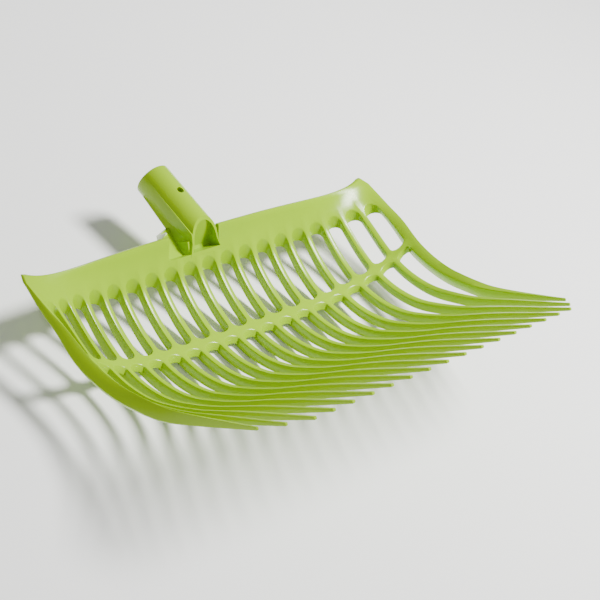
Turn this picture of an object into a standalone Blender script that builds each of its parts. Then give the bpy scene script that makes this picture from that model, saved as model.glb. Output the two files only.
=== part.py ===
"""Head of a stall fork: a wide basket of twenty thin tines below a curved header with a handle socket.

The real head is one plastic moulding.  Here its members are separate solids with a hairline between
them: the socket, the header, every tine and every web of the cross rib.

Each member is first made flat, as in a comb laid on a table: x runs across the comb, s down it from the
slot tops to the tips, and n out of its front.  bend() then gives every point its place in the bowl.
All design dimensions are in millimetres and become metres in bend().
"""
import math

import bmesh
import bpy
import numpy as np
from mathutils import Matrix, Vector

NAME = "stall_fork_head"
MM = 0.001
FAR = 120.0                     # beyond everything near the socket
GAP = 0.3                       # hairline between neighbouring members

# The comb
TINES = 20
PITCH = 22.0                    # from one tine to the next
HALF_SPAN = PITCH * TINES / 2
TINE_WIDTH = 5.5
END_TINE_WIDTH = 10.0
END_SHIFT = 1.5                 # the end tines stand this much further out than the pitch
TIP_WIDTH = 3.8
TIP_DEPTH = 2.6
TIP_ROUND = 1.6                 # length of the rounded end
ROOT_DEPTH = 6.8                # depth of a tine under the header
BELLY_DEPTH = 8.4               # depth of a tine in the bowl
BELLY = 85.0                   # from here down the tines have their full depth
TAPER = 100.0                    # length of the pointed end
LENGTHS = {0: 266.0, 1: 277.0}  # the first and second tine from each end
LENGTH = 288.0                  # all the others
DEPTHS = {0: 11.0, 1: 9.0}      # belly depth of the first and second tine from each end

# The header and the cross rib
HEADER_RISE = 23.2
HEADER_HALF = 215.5
HEADER_DIP = 3.2                # the header is this much lower near its ends
HEADER_FLARE = 4.0              # and rises this much at its ends
HEADER_THICK = 3.6
SLOT_SLANT = 11.0               # the slot ends lean: the back edge is this much lower than the front
CORNER = 8.0                    # radius of the header's top corners
RIB_TOP = 65.5
RIB_BOTTOM = 71.0
RIB_THICK = 5.0
RIB_SLANT = 4.5

# The bowl: angle of a tine's run at s = 0, then arcs as (end of arc, radius); 0 is a straight run
START_ANGLE = -88.7
HEADER_ARC = 88.8
ARCS = ((18.0, 49.0), (75.0, 120.0), (138.0, 86.5), (190.0, 350.0), (250.0, -690.0), (330.0, 0.0))
ARC_STEP = 1.0
# How far the wings are carried forward and up, and drawn in, at stations down the comb
STATIONS = (-27.5, 11.0, 71.5, 121.0, 187.0, 297.0)
FORWARD = (-0.5, 35.0, 27.5, 13.5, -2.0, -8.0)
UPWARD = (4.2, 13.9, 40.0, 37.8, 16.6, -4.5)
WING_SOFT = 0.104               # share of the gentle parabola in the wing's lift
DRAW_STATIONS = (0.0, 77.0, 319.0)
DRAW = (0.075, 0.088, 0.124)

# The socket, in the plane x = 0: from its mouth to the front of the header
MOUTH = Vector((0.0, -52.6, 63.5))
BASE = Vector((0.0, -1.0, 12.4))
DOWN_SOCKET = (BASE - MOUTH).normalized()
SOCKET_TOP = Vector((1, 0, 0)).cross(DOWN_SOCKET)
SOCKET_REACH = 110.0            # the socket is made this long and then cut off at the header
SOCKET_R = 15.5
BORE_R = 12.5
BORE_DEPTH = 48.0
CHEEK_START = 10.0              # flat cheeks start this far from the mouth
CHEEK_DROP = 10.5               # and reach this far below the axis
CHEEK_OUT = 0.2
HOLE_R = 3.0
HOLE_AT = 29.0                  # screw hole, from the mouth
FLOOR_Z = 3.3                   # the socket's end stands on this height of the header
END_POCKET = 6.0                # depth of the arched pocket in the socket's end
END_POCKET_TOP = 22.0
END_WALL = 3.6
GUSSET_TO = 48.0                # the gusset pocket beside the socket ends here
GUSSET_WALL = 3.0

# Rest: the head lies on its bowl with the tips up
REST_TILT = math.radians(38.9)
ORIGIN = Vector((0.0, 0.075492, -0.034257))  # bottom centre of the box, before it is moved to zero

LIME = (0.478, 0.642, 0.030)


# ---------------------------------------------------------------- the bowl

def run_angle(s):
    """Angle of the run of the centre line at s, in radians."""
    angle = math.radians(START_ANGLE)
    if s < 0:
        return angle + s / HEADER_ARC
    start = 0.0
    for end, radius in ARCS:
        length = min(s, end) - start
        if radius and length > 0:
            angle += length / radius
        start = end
    return angle


def centre_line(s):
    """Point (y, z) of the centre line at s."""
    steps = max(1, int(abs(s) / ARC_STEP))
    step = s / steps
    y = 0.0
    z = 0.0
    for i in range(steps):
        angle = run_angle((i + 0.5) * step)
        y += math.cos(angle) * step
        z += math.sin(angle) * step
    return y, z


def spline(knots, values):
    """Natural cubic spline through the values at the knots."""
    knots = np.array(knots)
    values = np.array(values)
    h = np.diff(knots)
    count = len(knots)
    matrix = np.eye(count)
    right = np.zeros(count)
    for i in range(1, count - 1):
        matrix[i, i - 1:i + 2] = (h[i - 1], 2 * (h[i - 1] + h[i]), h[i])
        right[i] = 6 * ((values[i + 1] - values[i]) / h[i] - (values[i] - values[i - 1]) / h[i - 1])
    bend = np.linalg.solve(matrix, right)

    def value(s):
        i = int(np.clip(np.searchsorted(knots, s) - 1, 0, count - 2))
        a = knots[i + 1] - s
        b = s - knots[i]
        cubic = (bend[i] * a ** 3 + bend[i + 1] * b ** 3) / (6 * h[i])
        low = (values[i] / h[i] - bend[i] * h[i] / 6) * a
        high = (values[i + 1] / h[i] - bend[i + 1] * h[i] / 6) * b
        return cubic + low + high

    return value


forward_at = spline(STATIONS, FORWARD)
upward_at = spline(STATIONS, UPWARD)


def place(point):
    """From the design position in millimetres to the row frame in metres."""
    turned = Matrix.Rotation(REST_TILT, 3, "X") @ Vector(point)
    return turned * MM - ORIGIN


def bend(point):
    """From the flat comb (x, s, n) to the bowl, in the row frame."""
    x, s, n = point
    angle = run_angle(s)
    y, z = centre_line(s)
    u = abs(x) / HALF_SPAN
    lift = WING_SOFT * u ** 2 + (1 - WING_SOFT) * u ** 4
    slope = (2 * WING_SOFT * u + 4 * (1 - WING_SOFT) * u ** 3) / HALF_SPAN
    forward = forward_at(s)
    upward = upward_at(s)
    front_y = -math.sin(angle)
    front_z = math.cos(angle)
    lean = math.copysign(math.atan(slope * (forward * front_y + upward * front_z)), x)
    drawn = x * (1 - np.interp(s, DRAW_STATIONS, DRAW) * u ** 4)
    out = n * math.cos(lean)
    return place((
        drawn - n * math.sin(lean),
        y + out * front_y + lift * forward,
        z + out * front_z + lift * upward,
    ))


# ---------------------------------------------------------------- objects

def clear_scene():
    for item in list(bpy.data.objects):
        bpy.data.objects.remove(item, do_unlink=True)


def collection(name):
    made = bpy.data.collections.new(name)
    bpy.context.scene.collection.children.link(made)
    return made


def plastic(name):
    material = bpy.data.materials.new(name)
    material.use_nodes = True
    shader = material.node_tree.nodes["Principled BSDF"]
    shader.inputs["Base Color"].default_value = (*LIME, 1.0)
    shader.inputs["Roughness"].default_value = 0.3
    shader.inputs["Metallic"].default_value = 0.0
    return material


def add_object(name, bm, group, transform):
    """Object from a bmesh, with every vertex put through transform."""
    for vert in bm.verts:
        vert.co = transform(vert.co)
    bmesh.ops.recalc_face_normals(bm, faces=bm.faces)
    mesh = bpy.data.meshes.new(name)
    bm.to_mesh(mesh)
    bm.free()
    made = bpy.data.objects.new(name, mesh)
    group.objects.link(made)
    if group is not cutters:
        mesh.materials.append(plastic(name))
    else:
        made.hide_render = True
        made.display_type = "WIRE"
    return made


def box(low, high):
    """Box between two corners, as a bmesh."""
    bm = bmesh.new()
    bmesh.ops.create_cube(bm, size=1.0)
    low = Vector(low)
    high = Vector(high)
    for vert in bm.verts:
        vert.co = Vector([low[i] + (vert.co[i] + 0.5) * (high[i] - low[i]) for i in range(3)])
    return bm


def prism(outline, low, high):
    """Outline of (y, z) points carried from one x to another."""
    bm = bmesh.new()
    near = [bm.verts.new((low, y, z)) for y, z in outline]
    far = [bm.verts.new((high, y, z)) for y, z in outline]
    bm.faces.new(near)
    bm.faces.new(far)
    for i in range(len(outline)):
        bm.faces.new((near[i - 1], near[i], far[i], far[i - 1]))
    bmesh.ops.recalc_face_normals(bm, faces=bm.faces)
    return bm


def slice_across(bm, axis, places):
    """Cut a bmesh at each place along an axis."""
    normal = Vector([1.0 if i == axis else 0.0 for i in range(3)])
    for place_at in places:
        geometry = bm.verts[:] + bm.edges[:] + bm.faces[:]
        bmesh.ops.bisect_plane(bm, geom=geometry, plane_co=normal * place_at, plane_no=normal)


def cut(target, cutter, operation="DIFFERENCE"):
    modifier = target.modifiers.new(operation.lower(), "BOOLEAN")
    modifier.object = cutter
    modifier.operation = operation
    modifier.solver = "EXACT"


# ---------------------------------------------------------------- members of the comb

def smooth_step(t):
    t = min(max(t, 0.0), 1.0)
    return t * t * (3 - 2 * t)


def end_rank(index):
    """0 for a tine at either end of the comb, 1 for the next one in, and so on."""
    return min(index, TINES - 1 - index)


def tine_x(index):
    x = ((TINES - 1) / 2 - index) * PITCH
    return x + math.copysign(END_SHIFT, x) * (end_rank(index) == 0)


def full_width(index):
    return END_TINE_WIDTH if end_rank(index) == 0 else TINE_WIDTH


def tine_size(index, s):
    """Width and depth of a tine at s."""
    rank = end_rank(index)
    tip = LENGTHS.get(rank, LENGTH)
    belly = DEPTHS.get(rank, BELLY_DEPTH)
    width = full_width(index)
    depth = ROOT_DEPTH + (belly - ROOT_DEPTH) * smooth_step(s / BELLY)
    taper = min(max((s - tip + TAPER) / TAPER, 0.0), 1.0)
    width += (TIP_WIDTH - width) * taper
    depth += (TIP_DEPTH - depth) * taper
    left = tip - s
    if left < TIP_ROUND:
        blunt = 0.45 + 0.55 * left / TIP_ROUND
        width *= blunt
        depth *= blunt
    return width, depth


def add_tine(index):
    tip = LENGTHS.get(end_rank(index), LENGTH)
    bm = box((-0.5, 2 * GAP, -1.0), (0.5, tip, 0.0))
    runs = np.linspace(14.0, tip - TAPER, 16)
    points = np.linspace(tip - TAPER, tip - TIP_ROUND, 5)[1:]
    slice_across(bm, 1, [*runs, *points])

    def shape(co):
        width, depth = tine_size(index, co.y)
        s = co.y
        if s < 1.0:
            s += SLOT_SLANT * -co.z
        return bend((tine_x(index) + co.x * width, s, co.z * depth))

    return add_object(f"tine_{index + 1:02d}", bm, parts, shape)


def header_scale(x):
    """How much higher the header is at x than in its middle."""
    u = min(abs(x) / HALF_SPAN, 1.0)
    dip = u ** 4 * (1 - u) / (0.8 ** 4 * 0.2)
    return 1 + (HEADER_FLARE * u ** 10 - HEADER_DIP * dip) / HEADER_RISE


def add_header():
    bm = box((-HEADER_HALF, -HEADER_RISE, -1.0), (HEADER_HALF, 0.0, 0.0))
    corner_steps = [HEADER_HALF - CORNER * (1 - math.cos(t)) for t in np.linspace(0.35, math.pi / 2, 4)]
    stations = [*np.arange(-9.0, 9.1, 0.5) * PITCH, *corner_steps, *[-c for c in corner_steps]]
    slice_across(bm, 0, stations)
    slice_across(bm, 1, [-HEADER_RISE / 2])

    def shape(co):
        x, s, n = co
        along = 1 + s / HEADER_RISE
        s *= header_scale(x)
        inset = abs(x) - (HEADER_HALF - CORNER)
        if inset > 0:
            drop = CORNER - math.sqrt(max(CORNER ** 2 - inset ** 2, 0.0))
            s += drop * (1 - along)
        depth = HEADER_THICK + (ROOT_DEPTH - HEADER_THICK) * along
        s += SLOT_SLANT * -n * along
        return bend((x, s, n * depth))

    header = add_object("header_plate", bm, parts, shape)
    room = box((-SOCKET_R - GAP, -60.0, FLOOR_Z - GAP), (GUSSET_TO - GUSSET_WALL, 30.0, 60.0))
    cut(header, add_object("header_room", room, cutters, place))
    return header


def add_web(index):
    """Web of the cross rib between one tine and the next."""
    low = tine_x(index + 1) + full_width(index + 1) / 2 + GAP
    high = tine_x(index) - full_width(index) / 2 - GAP
    bm = box((low, RIB_TOP, -1.0), (high, RIB_BOTTOM, 0.0))
    slice_across(bm, 0, [(low + high) / 2])

    def shape(co):
        x, s, n = co
        if s > (RIB_TOP + RIB_BOTTOM) / 2:
            s += RIB_SLANT * -n
        return bend((x, s, n * RIB_THICK))

    return add_object(f"rib_web_{index + 1:02d}", bm, parts, shape)


# ---------------------------------------------------------------- the socket

def socket_matrix(distance):
    """Frame of the socket at a distance from its mouth: x across, y to its underside, z down it."""
    turn = Matrix((Vector((1, 0, 0)), -SOCKET_TOP, DOWN_SOCKET)).transposed()
    return Matrix.Translation(MOUTH + DOWN_SOCKET * distance) @ turn.to_4x4()


def rod(radius, start, end, segments):
    bm = bmesh.new()
    bmesh.ops.create_cone(
        bm, cap_ends=True, segments=segments, radius1=radius, radius2=radius, depth=end - start)
    bmesh.ops.transform(bm, matrix=socket_matrix((start + end) / 2), verts=bm.verts)
    return bm


def screw_hole():
    bm = bmesh.new()
    bmesh.ops.create_cone(
        bm, cap_ends=True, segments=20, radius1=HOLE_R, radius2=HOLE_R, depth=SOCKET_R)
    turn = Vector((0, 0, 1)).rotation_difference(SOCKET_TOP).to_matrix().to_4x4()
    centre = MOUTH + DOWN_SOCKET * HOLE_AT + SOCKET_TOP * (BORE_R + SOCKET_R / 4)
    bmesh.ops.transform(bm, matrix=Matrix.Translation(centre) @ turn, verts=bm.verts)
    return bm


def add_socket():
    socket = add_object("handle_socket", rod(SOCKET_R, 0.0, SOCKET_REACH, 48), parts, place)
    half = SOCKET_R + CHEEK_OUT
    cheeks = box((-half, -1.0, CHEEK_START), (half, CHEEK_DROP, SOCKET_REACH))
    bmesh.ops.transform(cheeks, matrix=socket_matrix(0.0), verts=cheeks.verts)
    front = box((-FAR, 0.0, -FAR), (FAR, FAR, FAR))
    foot = box((-FAR, -FAR, -FAR), (FAR, FAR, FLOOR_Z))
    bore = rod(BORE_R, -10.0, BORE_DEPTH, 48)
    inner = SOCKET_R - END_WALL
    pocket = box((-inner, -END_POCKET, FLOOR_Z + END_WALL), (inner, 20.0, END_POCKET_TOP))
    cut(socket, add_object("socket_cheeks", cheeks, cutters, place), "UNION")
    cut(socket, add_object("socket_front", front, cutters, place))
    cut(socket, add_object("socket_foot", foot, cutters, place))
    cut(socket, add_object("socket_bore", bore, cutters, place))
    cut(socket, add_object("screw_hole", screw_hole(), cutters, place))
    cut(socket, add_object("end_pocket", pocket, cutters, place))


def add_gusset():
    """Sloping pocket beside the socket: a floor that leans back and one cheek."""
    back = -HEADER_THICK - 2.0
    outline = ((back, FLOOR_Z - 2), (-10.0, FLOOR_Z - 2), (-29.0, 22.5), (-26.4, 25.3), (back, 23.0))
    room = ((20.0, FLOOR_Z + 1), (back, FLOOR_Z + 1), (-26.4, 26.0), (-26.4, 40.0), (20.0, 40.0))
    gusset = add_object("socket_gusset", prism(outline, SOCKET_R + GAP, GUSSET_TO), parts, place)
    cutter = prism(room, 0.0, GUSSET_TO - GUSSET_WALL)
    cut(gusset, add_object("gusset_room", cutter, cutters, place))


clear_scene()
parts = collection(NAME)
cutters = collection("cutters")
add_socket()
add_gusset()
add_header()
for number in range(TINES):
    add_tine(number)
for number in range(TINES - 1):
    add_web(number)
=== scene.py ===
"""Looks of the stall fork head: one glossy lime green moulding, a pale floor, soft light and the camera.

The head starts as a flat comb: x runs across it, s down it from the slot tops to the tips, and n out of
its front.  It is cut out, thickened and rounded flat, and then bent into its bowl.
Design dimensions are in millimetres; place() turns them into the row frame in metres.
"""
import math

import bmesh
import bpy
import numpy as np
from mathutils import Matrix, Vector


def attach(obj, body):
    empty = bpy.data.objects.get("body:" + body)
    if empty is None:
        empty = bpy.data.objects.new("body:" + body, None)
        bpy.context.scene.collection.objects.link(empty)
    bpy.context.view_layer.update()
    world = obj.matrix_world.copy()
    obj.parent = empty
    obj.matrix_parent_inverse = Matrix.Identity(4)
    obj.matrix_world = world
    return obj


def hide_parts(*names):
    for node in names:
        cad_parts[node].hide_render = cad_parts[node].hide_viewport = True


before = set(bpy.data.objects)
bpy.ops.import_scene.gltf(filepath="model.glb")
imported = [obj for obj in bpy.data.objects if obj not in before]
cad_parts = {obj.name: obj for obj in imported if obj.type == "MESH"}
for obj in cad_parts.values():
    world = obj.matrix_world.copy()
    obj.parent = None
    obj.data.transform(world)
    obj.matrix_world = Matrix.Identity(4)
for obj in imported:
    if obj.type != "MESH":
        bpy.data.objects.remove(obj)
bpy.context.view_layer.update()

MM = 0.001

# The comb
TINES = 20
PITCH = 22.0
HALF_SPAN = PITCH * TINES / 2
TINE_WIDTH = 5.5
SLOT_HALF = (PITCH - TINE_WIDTH) / 2
END_TINE_WIDTH = 10.0
END_SHIFT = 1.5                 # the end tines stand this much further out than the pitch
TIP_WIDTH = 3.8
TIP_DEPTH = 2.6
ROOT_DEPTH = 6.8
BELLY_DEPTH = 8.4
BELLY = 85.0                    # from here down the tines have their full depth
TAPER = 100.0                   # length of the pointed end
LENGTHS = {0: 266.0, 1: 277.0}  # the first and second tine from each end
LENGTH = 287.0                  # all the others
DEPTHS = {0: 11.0, 1: 9.0}      # belly depth of the first and second tine from each end
END_SPLIT = 0.3                 # an end tine has one more mesh column, this far out of its middle
SLOT_COLUMNS = 6                # columns of the mesh across one slot
ROW = 4.0                       # length of a mesh row down the tines
EDGE_ROUND = 0.8                # rounding of every rim of the moulding
RIM_ANGLE = 0.4                 # an edge this sharp, in radians, counts as a rim

# The header and the cross rib
HEADER_RISE = 23.2
HEADER_THICK = 3.6
HEADER_ROWS = (-HEADER_RISE, -18.0, -12.0, -6.0)
HEADER_DIP = 3.2                # the header is this much lower near its ends
DIP_AT = 0.8                    # share of the half span at which it is lowest
HEADER_FLARE = 4.0              # and rises this much at its ends
SLOT_SLANT = 11.0               # the back edge of a slot's upper end is this much lower than the front
SLANT_REACH = 34.0              # the slant of a slot's end has faded out this far down the tines
CORNER = 8.0                    # radius of the header's top corners
RIB_TOP = 65.5
RIB_BOTTOM = 71.0
RIB_ROWS = 4
RIB_THICK = 5.0
RIB_SLANT = 4.5
RIB_ROUND = 5.0                 # how deep the rounded slot ends at the rib are

# The bowl's centre line: its angle in degrees at s = 0, the radius of the header above that, and the
# arcs below it as (where the arc ends, radius), where a radius of 0 is a straight run
START_ANGLE = -88.7
HEADER_ARC = 88.8
ARCS = ((18.0, 49.0), (75.0, 120.0), (138.0, 86.5), (190.0, 350.0), (250.0, -690.0), (330.0, 0.0))
LINE_STEP = 0.5
LINE_START = -60.0
LINE_END = 340.0
# How far the wings are carried forward and up, and drawn in, at stations down the comb
STATIONS = (-27.5, 11.0, 71.5, 121.0, 187.0, 297.0)
FORWARD = (-0.5, 35.0, 27.5, 13.5, -2.0, -8.0)
UPWARD = (4.2, 13.9, 40.0, 37.8, 16.6, -4.5)
WING_SOFT = 0.104               # share of the gentle parabola in the wing's lift
DRAW_STATIONS = (0.0, 77.0, 319.0)
DRAW = (0.075, 0.088, 0.124)

# The socket, in the plane x = 0: from its mouth to the front of the header
MOUTH = Vector((0.0, -52.6, 63.5))
BASE = Vector((0.0, -1.0, 12.4))
DOWN_SOCKET = (BASE - MOUTH).normalized()
SOCKET_TOP = Vector((1, 0, 0)).cross(DOWN_SOCKET)
SOCKET_REACH = 110.0                # the socket is made this long and then cut off at the header
SOCKET_FRONT = 0.3                  # by a plane at this y, and by one just below its floor
SOCKET_R = 15.5
MOUTH_ROUND = 1.2
BORE_R = 12.5
BORE_DEPTH = 48.0
BORE_START = -10.0                  # the bore's cutter starts above the mouth
HOLE_R = 3.0
HOLE_AT = 29.0                      # screw hole, from the mouth
FLOOR_Z = 3.3                       # height of the floor that the socket's end stands on
# Room for the socket in the header; the odd fractions keep its faces off those of other solids
SOCKET_ROOM = ((0.37 - SOCKET_R, -21.3, FLOOR_Z + 0.07), (SOCKET_R - 0.37, 19.1, 61.0))

# Flat cheeks below the ridges: they flare out towards the header
CREASE_ANGLE = math.radians(64.0)   # the ridge along each side, from the socket's top line
CHEEK_START = 10.0                  # from the mouth
CHEEK_START_DROP = 8.5              # how far below the axis the cheeks reach, at their start
CHEEK_DROP = 10.5                   # and at their end
RIDGE_OUT = 0.6                     # the ridge ends this far outside the round body
RIDGE_FALL = 0.5
FLARE_X = 23.0

# The arched pocket in the socket's end, and the block behind it
END_WALL = 2.4
POCKET_START = 30.0                 # from the mouth
POCKET_FLOOR = FLOOR_Z + 2
POCKET_BACK = -11.0
POCKET_FRONT = 20.0                 # its cutter comes out of the front of the header
POCKET_SLOPE = 12.0 / 6.4           # its back wall drops this much for each millimetre of depth
POCKET_TOP = 29.0                   # height at which the plane of the back wall crosses y = 0
POCKET_RUN = 60.0                   # the cutter's reach above and below that height
FOOT_HALF = 16.0                    # half width of the pocket at its floor
FOOT_TOP_HALF = 12.5
FOOT_TOP = 14.0
HEEL = ((-18.5, -14.0, 1.0), (18.5, -2.0, 15.0))

# The gusset beside the socket: corners by side of x, y and z, from low to high
GUSSET = {
    (0, 1, 0): (0.0, -2.5, -1.5), (1, 1, 0): (50.0, -2.5, -1.0),
    (0, 1, 1): (0.0, -1.0, 27.0), (1, 1, 1): (52.0, -1.0, 27.0),
    (0, 0, 0): (0.0, -30.5, 20.5), (1, 0, 0): (25.0, -30.5, 20.5),
    (0, 0, 1): (0.0, -28.5, 25.3), (1, 0, 1): (25.0, -28.5, 25.3),
}
GUSSET_SHOULDER = 7.0               # bevel of its outer top edge
GUSSET_ROUND = 1.0
# Its pocket, which is open at the top and at the front
GUSSET_ROOM = {
    (0, 1, 0): (5.0, 12.0, 4.4), (1, 1, 0): (49.0, 12.0, 4.4),
    (0, 1, 1): (5.0, 12.0, 60.0), (1, 1, 1): (52.0, 12.0, 60.0),
    (0, 0, 0): (5.0, -7.7, 4.4), (1, 0, 0): (43.0, -5.7, 4.4),
    (0, 0, 1): (5.0, -52.0, 60.0), (1, 0, 1): (5.5, -52.0, 60.0),
}
ROOM_ROUND = 5.0
FAR = 150.0                         # beyond everything near the socket

SHARP_ANGLE = math.radians(25)      # edges sharper than this are shaded as edges

REST_TILT = math.radians(38.9)
ORIGIN = Vector((0.0, 0.075492, -0.034257))
TURN = Matrix.Rotation(REST_TILT, 3, "X")


# ---------------------------------------------------------------- the bowl

def centre_line():
    """Angle, y and z of the centre line at even steps of s."""
    s = np.arange(LINE_START, LINE_END, LINE_STEP)
    angle = math.radians(START_ANGLE) + np.minimum(s, 0) / HEADER_ARC
    start = 0.0
    for end, radius in ARCS:
        if radius:
            angle = angle + np.clip(s - start, 0, end - start) / radius
        start = end
    y = np.cumsum(np.cos(angle)) * LINE_STEP
    z = np.cumsum(np.sin(angle)) * LINE_STEP
    zero = np.argmin(abs(s))
    return s, angle, y - y[zero], z - z[zero]


LINE_S, LINE_ANGLE, LINE_Y, LINE_Z = centre_line()


def spline(knots, values, s):
    """Natural cubic spline through the values at the knots, read at s."""
    knots = np.array(knots)
    values = np.array(values)
    h = np.diff(knots)
    count = len(knots)
    matrix = np.eye(count)
    right = np.zeros(count)
    for i in range(1, count - 1):
        matrix[i, i - 1:i + 2] = (h[i - 1], 2 * (h[i - 1] + h[i]), h[i])
        right[i] = 6 * ((values[i + 1] - values[i]) / h[i] - (values[i] - values[i - 1]) / h[i - 1])
    curve = np.linalg.solve(matrix, right)
    i = np.clip(np.searchsorted(knots, s) - 1, 0, count - 2)
    a = knots[i + 1] - s
    b = s - knots[i]
    cubic = (curve[i] * a ** 3 + curve[i + 1] * b ** 3) / (6 * h[i])
    low = (values[i] / h[i] - curve[i] * h[i] / 6) * a
    high = (values[i + 1] / h[i] - curve[i + 1] * h[i] / 6) * b
    return cubic + low + high


def bend(flat):
    """From flat comb points (x, s, n) to design positions in millimetres."""
    x, s, n = flat.T
    angle = np.interp(s, LINE_S, LINE_ANGLE)
    y = np.interp(s, LINE_S, LINE_Y)
    z = np.interp(s, LINE_S, LINE_Z)
    u = abs(x) / HALF_SPAN
    lift = WING_SOFT * u ** 2 + (1 - WING_SOFT) * u ** 4
    slope = (2 * WING_SOFT * u + 4 * (1 - WING_SOFT) * u ** 3) / HALF_SPAN
    forward = spline(STATIONS, FORWARD, s)
    upward = spline(STATIONS, UPWARD, s)
    front_y = -np.sin(angle)
    front_z = np.cos(angle)
    lean = np.sign(x) * np.arctan(slope * (forward * front_y + upward * front_z))
    drawn = x * (1 - np.interp(s, DRAW_STATIONS, DRAW) * u ** 4)
    out = n * np.cos(lean)
    return np.stack((
        drawn - n * np.sin(lean),
        y + out * front_y + lift * forward,
        z + out * front_z + lift * upward,
    ), axis=1)


def place(points):
    """From design positions in millimetres to the row frame in metres."""
    return points @ np.array(TURN).T * MM - np.array(ORIGIN)


# ---------------------------------------------------------------- helpers

def smooth_step(t):
    t = np.clip(t, 0.0, 1.0)
    return t * t * (3 - 2 * t)


def mesh_object(name, bm):
    """Object from a bmesh in design millimetres."""
    mesh = bpy.data.meshes.new(name)
    bm.to_mesh(mesh)
    bm.free()
    made = bpy.data.objects.new(name, mesh)
    bpy.context.scene.collection.objects.link(made)
    return made


def combine(target, tool, operation):
    """Join or cut one object by another, and leave the result in the target's mesh."""
    modifier = target.modifiers.new("boolean", "BOOLEAN")
    modifier.object = tool
    modifier.operation = operation
    modifier.solver = "MANIFOLD"
    graph = bpy.context.evaluated_depsgraph_get()
    result = bpy.data.meshes.new_from_object(target.evaluated_get(graph))
    target.modifiers.clear()
    target.data = result
    bpy.data.objects.remove(tool, do_unlink=True)


def hexahedron(corners):
    """Box whose eight corners are given by x, y and z side, as (0 or 1, 0 or 1, 0 or 1)."""
    bm = bmesh.new()
    bmesh.ops.create_cube(bm, size=2.0)
    for vert in bm.verts:
        side = tuple(int(value > 0) for value in vert.co)
        vert.co = corners[side]
    bmesh.ops.recalc_face_normals(bm, faces=bm.faces)
    return bm


def box(low, high):
    corners = {}
    for i in (0, 1):
        for j in (0, 1):
            for k in (0, 1):
                corners[i, j, k] = ((low[0], high[0])[i], (low[1], high[1])[j], (low[2], high[2])[k])
    return hexahedron(corners)


# ---------------------------------------------------------------- the comb

def tine_x(index):
    x = ((TINES - 1) / 2 - index) * PITCH
    return x + math.copysign(END_SHIFT, x) * (end_rank(index) == 0)


def end_rank(index):
    """How many tines stand further out on the same side."""
    return min(index, TINES - 1 - index)


def full_width(index):
    return END_TINE_WIDTH if end_rank(index) == 0 else TINE_WIDTH


def tine_tip(index):
    return LENGTHS.get(end_rank(index), LENGTH)


def comb_columns():
    """x of every mesh column, with the tine it belongs to or -1 between tines."""
    columns = []
    for index in reversed(range(TINES)):
        centre = tine_x(index)
        half = full_width(index) / 2
        outward = 1.0 if centre > 0 else -1.0
        across = [-half, half]
        if end_rank(index) == 0:
            across += [outward * END_SPLIT]
        columns += [(centre + offset, index) for offset in sorted(across)]
        if index:
            low = centre + half
            high = tine_x(index - 1) - full_width(index - 1) / 2
            for step in range(1, SLOT_COLUMNS):
                share = (1 - math.cos(math.pi * step / SLOT_COLUMNS)) / 2
                columns.append((low + (high - low) * share, -1))
    return columns


def comb_rows():
    """s of every mesh row, from the header's top edge to the tips."""
    upper = np.linspace(0.0, RIB_TOP, round(RIB_TOP / ROW) + 1)
    rib = np.linspace(RIB_TOP, RIB_BOTTOM, RIB_ROWS + 1)[1:]
    lower = np.linspace(RIB_BOTTOM, LENGTH, round((LENGTH - RIB_BOTTOM) / ROW) + 1)[1:]
    return [*HEADER_ROWS, *upper, *rib, *lower]


def slot_arc(x):
    """Share of a slot's half width at x: 0 at its middle line, 1 at a tine's edge or on a tine."""
    nearest = min(range(TINES), key=lambda index: abs(tine_x(index) - x))
    half = full_width(nearest) / 2
    away = abs(x - tine_x(nearest)) - half
    if away <= 0 or abs(x) > abs(tine_x(0)):
        return 1.0
    return max(1 - away / SLOT_HALF, 0.0)


def round_end(x, radius):
    """How far a rounded slot end has dropped at x."""
    share = slot_arc(x)
    return radius * (1 - math.sqrt(max(1 - share ** 2, 0.0)))


def flat_comb():
    """The comb's front face, cut out and with its slot ends rounded."""
    columns = comb_columns()
    rows = comb_rows()
    bm = bmesh.new()
    bmesh.ops.create_grid(bm, x_segments=len(columns) - 1, y_segments=len(rows) - 1, size=0.5)
    owner = bm.verts.layers.int.new("tine")
    top_row = rows.index(0.0)
    rib_top = rows.index(RIB_TOP)
    rib_bottom = rows.index(RIB_BOTTOM)
    spots = {}
    for vert in bm.verts:
        column = round((vert.co.x + 0.5) * (len(columns) - 1))
        row = round((0.5 - vert.co.y) * (len(rows) - 1))
        spots[vert] = (column, row)
    gone = []
    for face in bm.faces:
        cols = [spots[vert][0] for vert in face.verts]
        mid_row = sum(spots[vert][1] for vert in face.verts) / 4
        in_slot = any(columns[col][1] < 0 for col in cols)
        open_row = top_row < mid_row < rib_top or mid_row > rib_bottom
        if in_slot and open_row:
            gone.append(face)
    for vert, (column, row) in spots.items():
        x, tine = columns[column]
        s = rows[row]
        if row == top_row:
            s += round_end(x, SLOT_HALF)
        elif top_row < row < rib_top:
            s = SLOT_HALF + s * (RIB_TOP - RIB_ROUND - SLOT_HALF) / RIB_TOP
        elif row == rib_top:
            s -= round_end(x, RIB_ROUND)
        elif row == rib_bottom:
            s += round_end(x, RIB_ROUND)
        elif row > rib_bottom:
            full = LENGTH - RIB_BOTTOM
            s = RIB_BOTTOM + RIB_ROUND + (s - RIB_BOTTOM) * (full - RIB_ROUND) / full
            s = RIB_BOTTOM + (s - RIB_BOTTOM) * (tine_tip(tine) - RIB_BOTTOM) / full
        vert.co = (x, s, 0.0)
        vert[owner] = tine
    bmesh.ops.delete(bm, geom=gone, context="FACES")
    return bm


def header_scale(x):
    """How much higher than its middle the header is at x."""
    u = min(abs(x) / HALF_SPAN, 1.0)
    dip = u ** 4 * (1 - u) / (DIP_AT ** 4 * (1 - DIP_AT))
    return 1 + (HEADER_FLARE * u ** 10 - HEADER_DIP * dip) / HEADER_RISE


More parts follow.
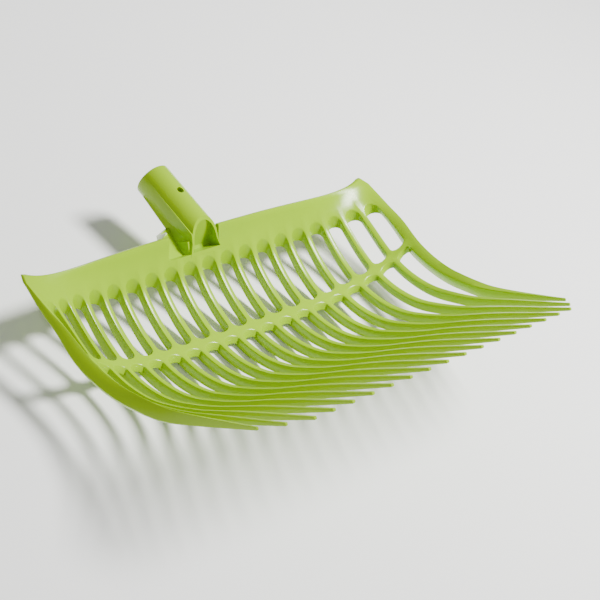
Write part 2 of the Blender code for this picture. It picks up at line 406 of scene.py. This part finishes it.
def tine_taper(tine, s):
    """Share of the taper reached at s: 0 above the pointed end, 1 at the tip."""
    tip = tine_tip(tine)
    return float(np.clip((s - tip + TAPER) / TAPER, 0.0, 1.0))


def comb_depth(x, s, tine):
    """Thickness of the comb from front to back."""
    along = np.clip(1 + s / HEADER_RISE, 0, 1)
    depth = HEADER_THICK + (ROOT_DEPTH - HEADER_THICK) * along
    if tine < 0:
        return RIB_THICK if s > RIB_TOP / 2 else depth
    belly = DEPTHS.get(end_rank(tine), BELLY_DEPTH)
    depth += (belly - ROOT_DEPTH) * smooth_step(s / BELLY) * (s > 0)
    return depth + (TIP_DEPTH - depth) * tine_taper(tine, s)


def slant(s, tine):
    """How much lower the back of the comb is than its front at s."""
    if s < SLANT_REACH:
        along = np.clip(1 + s / HEADER_RISE, 0, 1)
        return SLOT_SLANT * along * (1 - max(s, 0.0) / SLANT_REACH) ** 1.5
    if tine < 0 and s > (RIB_TOP + RIB_BOTTOM) / 2:
        return RIB_SLANT
    return 0.0


def moulded_comb():
    """The whole comb with its thickness, its pointed tines and its rounded rims, bent into the bowl."""
    bm = flat_comb()
    owner = bm.verts.layers.int["tine"]
    half = tine_x(0) + END_TINE_WIDTH / 2
    front = list(bm.verts)
    for vert in front:
        if vert.co.y < 0:
            vert.co.y *= header_scale(vert.co.x)
    extruded = bmesh.ops.extrude_face_region(bm, geom=bm.faces[:], use_keep_orig=True)
    back = [item for item in extruded["geom"] if isinstance(item, bmesh.types.BMVert)]
    for vert in back:
        x, s = vert.co.xy
        vert.co.z = -comb_depth(x, s, vert[owner])
        vert.co.y += slant(s, vert[owner])
    for vert in front + back:
        x, s = vert.co.xy
        tine = vert[owner]
        if tine >= 0:
            width = full_width(tine)
            narrow = 1 + (TIP_WIDTH / width - 1) * tine_taper(tine, s)
            vert.co.x = tine_x(tine) + (x - tine_x(tine)) * narrow
        inset = abs(x) - (half - CORNER)
        if inset > 0 and s < 0:
            drop = CORNER - math.sqrt(max(CORNER ** 2 - inset ** 2, 0.0))
            vert.co.y += drop * -s / HEADER_RISE
    bmesh.ops.recalc_face_normals(bm, faces=bm.faces)
    rims = [edge for edge in bm.edges if len(edge.link_faces) == 2 and edge.calc_face_angle() > RIM_ANGLE]
    bmesh.ops.bevel(
        bm, geom=rims, offset=EDGE_ROUND, segments=2, profile=0.5, affect="EDGES", material=-1,
        clamp_overlap=False)
    flat = np.array([vert.co for vert in bm.verts])
    for vert, point in zip(bm.verts, bend(flat)):
        vert.co = point
    bmesh.ops.recalc_face_normals(bm, faces=bm.faces)
    return mesh_object("fork_head", bm)


# ---------------------------------------------------------------- the socket

def socket_matrix(distance):
    """Frame of the socket at a distance from its mouth: x across, y to its top line, z down it."""
    turn = Matrix((Vector((1, 0, 0)), -SOCKET_TOP, DOWN_SOCKET)).transposed()
    return Matrix.Translation(MOUTH + DOWN_SOCKET * distance) @ turn.to_4x4()


def rod(radius, start, end):
    """Cylinder along the socket's axis, between two distances from its mouth."""
    bm = bmesh.new()
    bmesh.ops.create_cone(
        bm, cap_ends=True, segments=64, radius1=radius, radius2=radius, depth=end - start)
    bmesh.ops.transform(bm, matrix=socket_matrix((start + end) / 2), verts=bm.verts)
    return bm


def socket_body():
    bm = bmesh.new()
    bmesh.ops.create_cone(
        bm, cap_ends=True, segments=96, radius1=SOCKET_R, radius2=SOCKET_R, depth=SOCKET_REACH)
    bmesh.ops.translate(bm, vec=(0, 0, SOCKET_REACH / 2), verts=bm.verts)
    mouth = [edge for edge in bm.edges if all(vert.co.z < 0.01 for vert in edge.verts)]
    bmesh.ops.bevel(
        bm, geom=mouth, offset=MOUTH_ROUND, segments=3, profile=0.5, affect="EDGES", material=-1)
    bmesh.ops.transform(bm, matrix=socket_matrix(0.0), verts=bm.verts)
    return mesh_object("socket_body", bm)


def socket_cheeks():
    """Flat sides below the ridges: they start on the round body and stand out more towards the header."""
    ridge_x = SOCKET_R * math.sin(CREASE_ANGLE)
    ridge_y = -SOCKET_R * math.cos(CREASE_ANGLE)
    corners = {}
    for side in (0, 1):
        sign = 2 * side - 1
        corners[side, 0, 0] = (sign * ridge_x, ridge_y, CHEEK_START)
        corners[side, 1, 0] = (sign * ridge_x, CHEEK_START_DROP, CHEEK_START)
        corners[side, 0, 1] = (sign * (SOCKET_R + RIDGE_OUT), ridge_y + RIDGE_FALL, SOCKET_REACH)
        corners[side, 1, 1] = (sign * FLARE_X, CHEEK_DROP, SOCKET_REACH)
    bm = hexahedron(corners)
    bmesh.ops.transform(bm, matrix=socket_matrix(0.0), verts=bm.verts)
    return mesh_object("socket_cheeks", bm)


def pocket_arch():
    """Round upper part of the end pocket, cut off at the pocket's back and floor."""
    bm = rod(SOCKET_R - END_WALL, POCKET_START, SOCKET_REACH)
    for spot, outward in (((0, POCKET_BACK, 0), (0, -1, 0)), ((0, 0, POCKET_FLOOR), (0, 0, -1))):
        geometry = bm.verts[:] + bm.edges[:] + bm.faces[:]
        bmesh.ops.bisect_plane(bm, geom=geometry, plane_co=spot, plane_no=outward, clear_outer=True)
        bmesh.ops.holes_fill(bm, edges=bm.edges[:], sides=0)
    return mesh_object("end_pocket", bm)


def end_pocket():
    """Arched pocket in the socket's end, whose back wall drops towards the bottom."""
    pocket = pocket_arch()
    foot = {}
    back = {}
    for i, side in enumerate((-1, 1)):
        for j, y in enumerate((POCKET_BACK, POCKET_FRONT)):
            foot[i, j, 0] = (side * FOOT_HALF, y, POCKET_FLOOR)
            foot[i, j, 1] = (side * FOOT_TOP_HALF, y, FOOT_TOP)
        for k, run in enumerate((-POCKET_RUN, POCKET_RUN)):
            wall = run / POCKET_SLOPE
            back[i, 0, k] = (side * 2 * SOCKET_R, wall - FAR, POCKET_TOP + run)
            back[i, 1, k] = (side * 2 * SOCKET_R, wall, POCKET_TOP + run)
    combine(pocket, mesh_object("pocket_foot", hexahedron(foot)), "UNION")
    combine(pocket, mesh_object("pocket_back", hexahedron(back)), "DIFFERENCE")
    return pocket


def gusset_solid():
    bm = hexahedron(GUSSET)
    shoulder = [edge for edge in bm.edges if all(vert.co.x > 20 and vert.co.z > 24 for vert in edge.verts)]
    bmesh.ops.bevel(bm, geom=shoulder, offset=GUSSET_SHOULDER, segments=1, affect="EDGES", material=-1)
    bmesh.ops.bevel(
        bm, geom=bm.edges[:], offset=GUSSET_ROUND, segments=2, profile=0.5, affect="EDGES", material=-1)
    return mesh_object("gusset", bm)


def gusset_room():
    bm = hexahedron(GUSSET_ROOM)
    outer = [edge for edge in bm.edges if all(vert.co.x > 5.2 for vert in edge.verts)]
    rounded = [edge for edge in outer if all(vert.co.z < 5 for vert in edge.verts)]
    rounded += [edge for edge in outer if all(vert.co.y < 0 for vert in edge.verts)]
    bmesh.ops.bevel(
        bm, geom=rounded, offset=ROOM_ROUND, segments=5, profile=0.5, affect="EDGES", material=-1)
    return mesh_object("gusset_room", bm)


def screw_hole():
    bm = bmesh.new()
    bmesh.ops.create_cone(
        bm, cap_ends=True, segments=32, radius1=HOLE_R, radius2=HOLE_R, depth=SOCKET_R)
    turn = Vector((0, 0, 1)).rotation_difference(SOCKET_TOP).to_matrix().to_4x4()
    centre = MOUTH + DOWN_SOCKET * HOLE_AT + SOCKET_TOP * (BORE_R + SOCKET_R / 4)
    bmesh.ops.transform(bm, matrix=Matrix.Translation(centre) @ turn, verts=bm.verts)
    return mesh_object("screw_hole", bm)


def whole_socket():
    socket = socket_body()
    combine(socket, socket_cheeks(), "UNION")
    front = box((-FAR, SOCKET_FRONT, -FAR), (FAR, FAR, FAR))
    foot = box((-FAR, -FAR, -FAR), (FAR, FAR, FLOOR_Z - 1))
    combine(socket, mesh_object("front", front), "DIFFERENCE")
    combine(socket, mesh_object("foot", foot), "DIFFERENCE")
    return socket


def fork_head():
    head = moulded_comb()
    combine(head, gusset_solid(), "UNION")
    combine(head, gusset_room(), "DIFFERENCE")
    combine(head, mesh_object("socket_room", box(*SOCKET_ROOM)), "DIFFERENCE")
    combine(head, mesh_object("heel", box(*HEEL)), "UNION")
    combine(head, whole_socket(), "UNION")
    combine(head, mesh_object("bore", rod(BORE_R, BORE_START, BORE_DEPTH)), "DIFFERENCE")
    combine(head, screw_hole(), "DIFFERENCE")
    combine(head, end_pocket(), "DIFFERENCE")
    mesh = head.data
    points = np.zeros(len(mesh.vertices) * 3)
    mesh.vertices.foreach_get("co", points)
    mesh.vertices.foreach_set("co", place(points.reshape(-1, 3)).ravel())
    mesh.update()
    mesh.shade_smooth()
    mesh.set_sharp_from_angle(angle=SHARP_ANGLE)
    return head


# ---------------------------------------------------------------- material

def linear(hex_colour):
    """Linear RGBA from an sRGB hex colour."""
    channels = [int(hex_colour[i:i + 2], 16) / 255 for i in (1, 3, 5)]
    return (*[c / 12.92 if c <= 0.04045 else ((c + 0.055) / 1.055) ** 2.4 for c in channels], 1.0)


def node(tree, kind, settings=None, **links):
    """Add a node, set its properties, and set or link its inputs by name."""
    made = tree.nodes.new(kind)
    for name, value in (settings or {}).items():
        setattr(made, name, value)
    for name, value in links.items():
        socket = made.inputs[name.replace("_", " ")]
        if isinstance(value, bpy.types.NodeSocket):
            tree.links.new(value, socket)
        else:
            socket.default_value = value
    return made


def lime_polypropylene():
    """Injection moulded polypropylene: even lime green, a soft gloss, faintly waxy and rippled."""
    material = bpy.data.materials.new("lime_polypropylene")
    material.use_nodes = True
    tree = material.node_tree
    tree.nodes.clear()
    where = node(tree, "ShaderNodeTexCoord").outputs["Object"]
    flow = node(tree, "ShaderNodeTexNoise", Vector=where, Scale=1 / (45 * MM), Detail=2.0)
    tint = node(tree, "ShaderNodeMix", {"data_type": "RGBA"}, Factor=flow.outputs["Fac"])
    tint.inputs[6].default_value = linear("#8DB400")
    tint.inputs[7].default_value = linear("#95BC00")
    grain = node(tree, "ShaderNodeTexNoise", Vector=where, Scale=1 / (1.2 * MM), Detail=3.0)
    ripple = node(tree, "ShaderNodeTexNoise", Vector=where, Scale=1 / (14 * MM), Detail=1.0)
    fine = node(tree, "ShaderNodeBump", Height=grain.outputs["Fac"], Strength=0.06, Distance=0.2 * MM)
    relief = node(
        tree, "ShaderNodeBump", Height=ripple.outputs["Fac"], Strength=0.25, Distance=0.5 * MM,
        Normal=fine.outputs["Normal"])
    gloss = node(
        tree, "ShaderNodeMapRange", Value=grain.outputs["Fac"], From_Min=0.3, From_Max=0.7,
        To_Min=0.2, To_Max=0.26)
    shader = node(
        tree, "ShaderNodeBsdfPrincipled", Base_Color=tint.outputs[2], Roughness=gloss.outputs["Result"],
        Normal=relief.outputs["Normal"], IOR=1.49, Specular_IOR_Level=0.3)
    output = node(tree, "ShaderNodeOutputMaterial")
    tree.links.new(shader.outputs["BSDF"], output.inputs["Surface"])
    return material


def pale_floor():
    material = bpy.data.materials.new("pale_floor")
    material.use_nodes = True
    shader = material.node_tree.nodes["Principled BSDF"]
    shader.inputs["Base Color"].default_value = linear("#F4F4F2")
    shader.inputs["Roughness"].default_value = 0.9
    return material


# ---------------------------------------------------------------- stage

CAMERA_AT = Vector((1044.3, 1040.3, 257.8))
CAMERA_RIGHT = Vector((-0.649, 0.752, -0.115))
CAMERA_LOOK = Vector((-0.726, -0.657, -0.202))
LENS = 110.0
FLOOR_HALF = 6.0
SKY = 0.3
LIT_POINT = Vector((0.0, 0.0, 0.05))
# Soft lights: name, place, diameter in metres and power in watts
LIGHTS = (
    ("overhead", Vector((-0.8, 0.35, 1.45)), 0.5, 72.0),
    ("near_side", Vector((1.05, 0.6, 0.95)), 0.1, 3.0),
)


def camera():
    data = bpy.data.cameras.new("camera")
    data.lens = LENS
    data.sensor_width = 36.0
    made = bpy.data.objects.new("camera", data)
    look = (TURN @ CAMERA_LOOK).normalized()
    right = TURN @ CAMERA_RIGHT
    up = right.cross(look).normalized()
    right = look.cross(up)
    spot = TURN @ CAMERA_AT * MM - ORIGIN
    made.matrix_world = Matrix.Translation(spot) @ Matrix((right, up, -look)).transposed().to_4x4()
    bpy.context.scene.collection.objects.link(made)
    bpy.context.scene.camera = made


def area_light(name, spot, size, power):
    data = bpy.data.lights.new(name, "AREA")
    data.shape = "DISK"
    data.size = size
    data.energy = power
    made = bpy.data.objects.new(name, data)
    made.location = spot
    made.rotation_euler = (LIT_POINT - spot).to_track_quat("-Z", "Y").to_euler()
    bpy.context.scene.collection.objects.link(made)


def stage():
    bm = bmesh.new()
    bmesh.ops.create_grid(bm, x_segments=1, y_segments=1, size=FLOOR_HALF)
    floor = mesh_object("floor", bm)
    floor.data.materials.append(pale_floor())
    world = bpy.data.worlds.new("studio")
    world.use_nodes = True
    sky = world.node_tree.nodes["Background"]
    sky.inputs["Color"].default_value = (1.0, 1.0, 1.0, 1.0)
    sky.inputs["Strength"].default_value = SKY
    bpy.context.scene.world = world
    for light in LIGHTS:
        area_light(*light)


# ---------------------------------------------------------------- putting it together

head = fork_head()
head.data.materials.clear()
head.data.materials.append(lime_polypropylene())
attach(head, "root")
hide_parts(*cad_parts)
stage()
camera()
